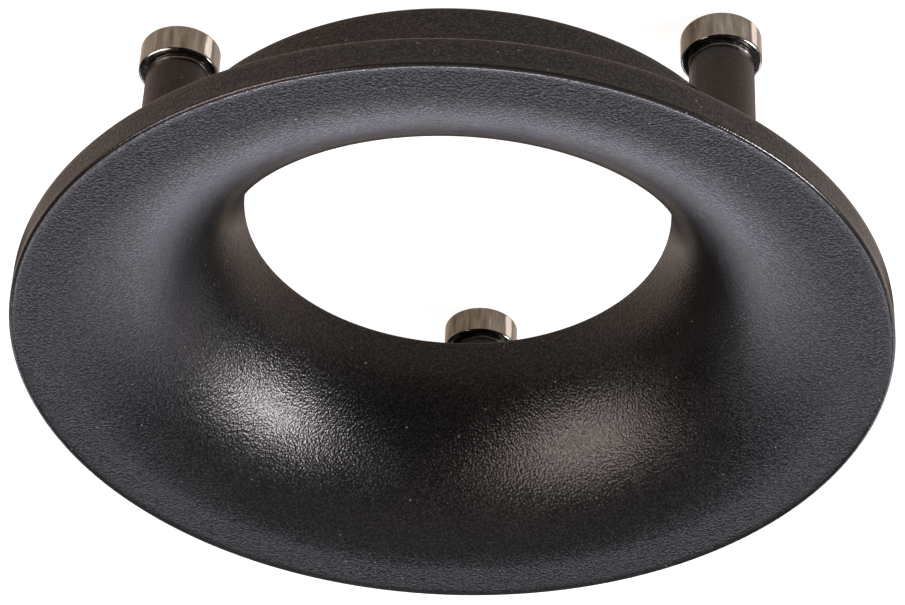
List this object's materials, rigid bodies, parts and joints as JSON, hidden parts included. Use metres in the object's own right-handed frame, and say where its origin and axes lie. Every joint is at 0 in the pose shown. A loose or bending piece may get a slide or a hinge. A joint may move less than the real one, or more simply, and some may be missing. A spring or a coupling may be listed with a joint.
{
  "type": "downlight glare ring",
  "caption": "Shallow trumpet-shaped glare ring in textured black, a light-restricting snoot for a recessed downlight, held behind by disc magnets on posts.",
  "frame": {"origin": "centre of the plane that the three magnets' faces lie in, on the ring's own axis", "axes": "+Z along the ring's axis out of the flared face, the way the light leaves; +Y through the axis of post 1"},
  "size_m": [0.054, 0.054, 0.0171],
  "materials": {
    "black_coat": "fine-textured satin black powder coat on cast aluminium",
    "post_coat": "fine-textured satin black powder coat on turned aluminium",
    "adhesive": "cured clear adhesive, glossy",
    "nickel_plate": "bright nickel plate, faintly brushed"
  },
  "bodies": {
    "root": {"flared_ring": "black_coat", "post_1": "post_coat", "post_2": "post_coat", "post_3": "post_coat", "adhesive_1": "adhesive", "adhesive_2": "adhesive", "adhesive_3": "adhesive", "magnet_1": "nickel_plate", "magnet_2": "nickel_plate", "magnet_3": "nickel_plate"}
  },
  "joints": []
}
